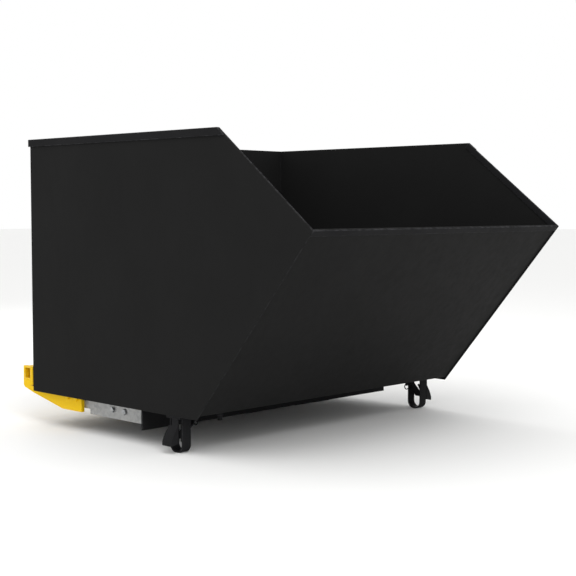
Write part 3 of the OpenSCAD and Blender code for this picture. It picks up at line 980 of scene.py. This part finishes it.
@dataclass(frozen=True)
class ForkBase:
    """Cross plate, fork pockets, feet, rails, cross members and rest pads."""

    edge_mm: float = 1.5
    bead: Weld = Weld(2.8)
    rail_edge_mm: float = 1.0
    foot_inset_mm: float = 10.0
    shoe_mm: float = 8.0

    def dress(self) -> None:
        """Round the pieces and give them paint, zinc or rubber."""
        rounded("cross_plate", self.edge_mm, BLACK_BAR, Body.BASE)
        for side in Side:
            for stem in ("fork_pocket", "foot_front", "foot_rear"):
                rounded(side.node(stem), self.edge_mm, BLACK_BAR, Body.BASE)
            rounded(side.node("side_rail"), self.rail_edge_mm, GALVANISED, Body.BASE)
        for node in ("middle_member", "rear_member"):
            rounded(node, self.edge_mm, GALVANISED, Body.BASE)
        rounded("rest_pads", self.edge_mm, RUBBER, Body.BASE)

    def weld(self) -> None:
        """Lay the beads round the pockets and the feet."""
        lines: list[list[Vector]] = []
        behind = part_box("cross_plate")[1].y
        for side in Side:
            low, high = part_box(side.node("fork_pocket"))
            ring = ((low.x, low.z), (high.x, low.z), (high.x, high.z), (low.x, high.z), (low.x, low.z))
            lines.append([Vector((x, behind, z)) for x, z in ring])
            for stem in ("foot_front", "foot_rear"):
                foot_low, foot_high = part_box(side.node(stem))
                inset = self.foot_inset_mm * MM
                for z in (foot_high.z, foot_low.z + self.shoe_mm * MM):
                    corners = [
                        (foot_low.x + inset, foot_low.y + inset), (foot_high.x - inset, foot_low.y + inset),
                        (foot_high.x - inset, foot_high.y - inset), (foot_low.x + inset, foot_high.y - inset),
                        (foot_low.x + inset, foot_low.y + inset),
                    ]
                    lines.append([Vector((x, y, z)) for x, y in corners])
        self.bead.lay("base_welds", lines, BLACK_BAR, Body.BASE)


@dataclass(frozen=True)
class Fasteners:
    """Hexagon bolts and nuts of the rails and arms, instanced from two pattern pieces."""

    chamfer_deg: float = 30.0
    thread_pitch_mm: float = 1.75
    # Shares of the width across the flats: the washer face, where the chamfer starts, the end face.
    washer_share: float = 0.98
    chamfer_share: float = 0.96
    end_share: float = 0.94
    # Shares of a height: the washer face of its hexagon, a bolt's head of its nut.
    washer_height: float = 0.12
    head_height: float = 0.8
    # Shares of the CAD bolt head's half height: the flats; and of the flats: the bolt's radius.
    flats_share: float = 0.93
    bolt_share: float = 0.6
    # Each hexagon is turned this much further than the one before, as tightening leaves them.
    turn_step_rad: float = 0.3

    def _hexagon(self, name: str, flats: float, height: float, hole: float) -> bpy.types.Object:
        """Turned hexagon along +X with a chamfered outer end and a washer face.

        Args:
            name: Name of the pattern piece.
            flats: Half the width across the flats.
            height: Height along X.
            hole: Radius of the end that stands out of it, or 0 for a bolt head.

        Returns:
            The pattern piece.
        """
        shape = bmesh.new()
        count = 48
        lean = math.tan(math.radians(self.chamfer_deg))
        washer = self.washer_height * height
        rim = self.washer_share * flats
        profile: list[list[bmesh.types.BMVert]] = []
        for i in range(count):
            turn = math.tau * i / count
            near = (turn + math.pi / 6) % (math.pi / 3) - math.pi / 6
            reach = flats / math.cos(near)
            top = height - max(0.0, reach - self.chamfer_share * flats) * lean
            points = [
                (0.0, rim), (washer, rim), (washer, reach), (top, reach), (height, self.end_share * flats),
            ]
            profile.append(
                [shape.verts.new((x, r * math.cos(turn), r * math.sin(turn))) for x, r in points]
            )
        for i in range(count):
            here, after = profile[i], profile[(i + 1) % count]
            for k in range(len(here) - 1):
                shape.faces.new((here[k], after[k], after[k + 1], here[k + 1]))
        shape.faces.new([p[0] for p in profile])
        shape.faces.new([p[-1] for p in reversed(profile)])
        if hole:
            self._thread(shape, hole, height)
        bmesh.ops.recalc_face_normals(shape, faces=shape.faces)
        mesh = bpy.data.meshes.new(name)
        shape.to_mesh(mesh)
        shape.free()
        pattern = bpy.data.objects.new(name, mesh)
        bpy.context.scene.collection.objects.link(pattern)
        return pattern

    def _thread(self, shape: bmesh.types.BMesh, radius: float, start: float) -> None:
        """Add the bolt's threaded end, which stands 3 mm out of the nut.

        Args:
            shape: Mesh that gets the end.
            radius: Radius of the bolt.
            start: Where the end leaves the nut, along X.
        """
        count = 24
        steps = [(-0.5, 1.0), (0.0, 0.9), (0.4, 1.0), (0.9, 0.88), (1.3, 1.0), (1.6, 0.86)]
        rings = []
        for along, share in steps:
            x = start + along * self.thread_pitch_mm * MM
            rings.append(
                [
                    shape.verts.new((x, share * radius * math.cos(t), share * radius * math.sin(t)))
                    for t in [math.tau * i / count for i in range(count)]
                ]
            )
        for here, after in zip(rings, rings[1:]):
            for i in range(count):
                k = (i + 1) % count
                shape.faces.new((here[i], here[k], after[k], after[i]))
        shape.faces.new(list(reversed(rings[0])))
        shape.faces.new(rings[-1])

    def _points(
        self, node: str, outward: bool, height: float, near: float = -math.inf, far: float = math.inf
    ) -> bpy.types.Mesh:
        """Points where the pattern pieces go, each with its turn.

        Args:
            node: CAD node whose solids give the places.
            outward: True where the hexagon faces away from the middle.
            height: Height of the hexagon along X.
            near: Least Y of the solids that count.
            far: Greatest Y of the solids that count.

        Returns:
            A mesh of bare points.
        """
        places, turns = [], []
        for low, high in islands(node):
            right = low.x > 0
            middle = (low + high) / 2
            if not near < middle.y < far:
                continue
            faces_plus = right == outward
            x = high.x - height if faces_plus else low.x + height
            places.append((x, middle.y, middle.z))
            turns.append((self.turn_step_rad * len(places), 0.0, 0.0 if faces_plus else math.pi))
        mesh = bpy.data.meshes.new(f"{node}_points")
        mesh.from_pydata(places, [], [])
        turn = mesh.attributes.new("turn", "FLOAT_VECTOR", "POINT")
        for item, value in zip(turn.data, turns):
            item.vector = value
        return mesh

    def build(self) -> None:
        """Set the bolts and nuts in place of the plain CAD solids."""
        low, high = islands("frame_bolts")[-1]
        nut_low, nut_high = islands("frame_nuts")[-1]
        flats = (high.z - low.z) / 2 * self.flats_share
        nut_height = nut_high.x - nut_low.x
        head_height = self.head_height * nut_height
        head = self._hexagon("bolt_head_pattern", flats, head_height, 0.0)
        nut = self._hexagon("nut_pattern", flats, nut_height, flats * self.bolt_share)
        # The arms' bolts were painted over with the arms; the rails' bolts were left bare.
        front_of_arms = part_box("frame_arm_left")[0][1]
        grown(
            "arm_bolt_heads", self._points("frame_bolts", True, head_height, near=front_of_arms),
            copies_tree(), {"Pattern": head}, YELLOW, Body.BASE, [],
        )
        grown(
            "rail_bolt_heads", self._points("frame_bolts", True, head_height, far=front_of_arms),
            copies_tree(), {"Pattern": head}, ZINC, Body.BASE, ["frame_bolts"],
        )
        grown(
            "rail_nuts", self._points("frame_nuts", False, nut_height), copies_tree(), {"Pattern": nut},
            ZINC, Body.BASE, ["frame_nuts"],
        )
        for pattern in (head, nut):
            bpy.data.objects.remove(pattern)


@dataclass(frozen=True)
class RearFrame:
    """Yellow arms and cross tube."""

    edge_mm: float = 1.5
    bead: Weld = Weld(3.0)
    bracket_gap_mm: float = 2.0

    def dress(self) -> None:
        """Round and paint the arms, the tube and the latch bracket."""
        for node in ("frame_arm_left", "frame_arm_right", "cross_tube", "latch_bracket"):
            rounded(node, self.edge_mm, YELLOW, Body.BASE)

    def weld(self) -> None:
        """Lay the beads round the tube inside each arm, and round the latch bracket."""
        arm_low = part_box("frame_arm_right")[0]
        bracket_low, bracket_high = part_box("latch_bracket")
        tube_top = bracket_low.z
        low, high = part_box("cross_tube")
        ring = ((low.y, low.z), (high.y, low.z), (high.y, high.z), (low.y, high.z), (low.y, low.z))
        lines: list[list[Vector]] = []
        for side in Side:
            lines.append([Vector((side.value * arm_low.x, y, z)) for y, z in ring])
        gap = self.bracket_gap_mm * MM
        ends = (bracket_low.x + gap, bracket_high.x - gap)
        for y in (bracket_low.y, bracket_high.y):
            lines.append([Vector((x, y, tube_top)) for x in ends])
        self.bead.lay("frame_welds", lines, YELLOW, Body.BASE)


@dataclass(frozen=True)
class Latch:
    """Hook and lever with ribbed grips, its pin and the torsion spring."""

    edge_mm: float = 1.5
    pin_edge_mm: float = 1.0
    rib_mm: float = 6.0
    rib_depth: float = 0.12

    def dress(self) -> None:
        """Round and paint the lever, and plate the pin and the spring."""
        rounded("latch_lever", self.edge_mm, BLACK_BAR, Body.LATCH)
        rounded("latch_pin", self.pin_edge_mm, ZINC, Body.BASE)
        plain("latch_spring", ZINC)

    def grip(self) -> None:
        """Make the ribbed rubber grips on the lever's cross rod."""
        lines = []
        radius = 0.0
        for low, high in islands("lever_grips"):
            middle = (low + high) / 2
            radius = (high.z - low.z) / 2
            lines.append([Vector((low.x, middle.y, middle.z)), Vector((high.x, middle.y, middle.z))])
        values = {
            "Radius": radius, "Pitch": self.rib_mm * MM, "Depth": self.rib_depth, "Steps": 8, "Sides": 32,
        }
        grown(
            "ribbed_grips", paths("ribbed_grips", lines), ripple_tree(), values, RUBBER, Body.LATCH,
            ["lever_grips"],
        )


# ---- studio ----


@dataclass(frozen=True)
class SoftLight:
    """A square soft light that faces the middle of the object."""

    name: str
    place: tuple[float, float, float]
    side_m: float
    power_w: float
    aim: tuple[float, float, float] = (0.0, 0.0, 0.5)

    def hang(self) -> None:
        """Hang the light."""
        data = bpy.data.lights.new(self.name, "AREA")
        data.size = self.side_m
        data.energy = self.power_w
        lamp = bpy.data.objects.new(self.name, data)
        bpy.context.scene.collection.objects.link(lamp)
        lamp.location = self.place
        facing = Vector(self.aim) - Vector(self.place)
        lamp.rotation_euler = facing.to_track_quat("-Z", "Y").to_euler()


LIGHTS = (
    SoftLight("key", (-2.4, -3.0, 4.6), 3.2, 115.0),
    SoftLight("fill", (3.6, -3.4, 2.6), 3.0, 3.0),
    SoftLight("back", (0.5, 4.0, 3.6), 3.0, 60.0),
)


@dataclass(frozen=True)
class Studio:
    """Pale floor, soft lights and the camera."""

    floor_colour: str = "F4F4F3"
    floor_half_m: float = 40.0
    floor_roughness: float = 0.9
    floor_specular: float = 0.1
    sky: float = 1.0
    camera_at: tuple[float, float, float] = (-3.464, -3.4065, 0.862)
    heading_deg: float = 45.65
    pitch_deg: float = 3.75
    lens_mm: float = 76.29
    sensor_mm: float = 36.0

    def build(self) -> None:
        """Make the floor, the lights, the surroundings and the camera."""
        self._floor()
        self._surroundings()
        for light in LIGHTS:
            light.hang()
        self._camera()
        # The plain transform keeps the white surroundings white and the black paint black.
        bpy.context.scene.view_settings.view_transform = "Standard"

    def _floor(self) -> None:
        """Lay a wide, plain, pale floor."""
        shape = bmesh.new()
        bmesh.ops.create_grid(shape, x_segments=1, y_segments=1, size=self.floor_half_m)
        mesh = bpy.data.meshes.new("floor")
        shape.to_mesh(mesh)
        shape.free()
        floor = bpy.data.objects.new("floor", mesh)
        bpy.context.scene.collection.objects.link(floor)
        paint = bpy.data.materials.new("pale_floor")
        paint.use_nodes = True
        shader = paint.node_tree.nodes["Principled BSDF"]
        shader.inputs["Base Color"].default_value = linear(self.floor_colour)
        shader.inputs["Roughness"].default_value = self.floor_roughness
        shader.inputs["Specular IOR Level"].default_value = self.floor_specular
        mesh.materials.append(paint)

    def _surroundings(self) -> None:
        """Surround the object with plain white."""
        world = bpy.data.worlds.new("studio")
        bpy.context.scene.world = world
        world.use_nodes = True
        ground = world.node_tree.nodes["Background"]
        ground.inputs["Color"].default_value = (1.0, 1.0, 1.0, 1.0)
        ground.inputs["Strength"].default_value = self.sky

    def _camera(self) -> None:
        """Stand the camera off the front left corner, a little above the lip."""
        data = bpy.data.cameras.new("camera")
        data.lens = self.lens_mm
        data.sensor_width = self.sensor_mm
        camera = bpy.data.objects.new("camera", data)
        bpy.context.scene.collection.objects.link(camera)
        camera.location = self.camera_at
        camera.rotation_euler = (math.radians(90 - self.pitch_deg), 0.0, -math.radians(self.heading_deg))
        bpy.context.scene.camera = camera


def main() -> None:
    """Dress every sub-assembly, then build the studio."""
    logging.basicConfig(level=logging.INFO, format="%(message)s")
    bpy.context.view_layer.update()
    hopper, legs, hinge, base, frame, latch = (
        HopperBody(), FrontLegs(), HingeLine(), ForkBase(), RearFrame(), Latch(),
    )
    steps: dict[str, tuple[Callable[[], None], ...]] = {
        "hopper body": (hopper.dress, hopper.weld, hopper.weld_fittings),
        "front legs": (legs.dress, legs.weld),
        "hinge line": (hinge.dress, hinge.weld),
        "fork base": (base.dress, base.weld),
        "fasteners": (Fasteners().build,),
        "rear frame": (frame.dress, frame.weld),
        "latch": (latch.dress, latch.grip),
        "studio": (Studio().build,),
    }
    for name, work in steps.items():
        for step in work:
            step()


if __name__ == "__main__":
    main()
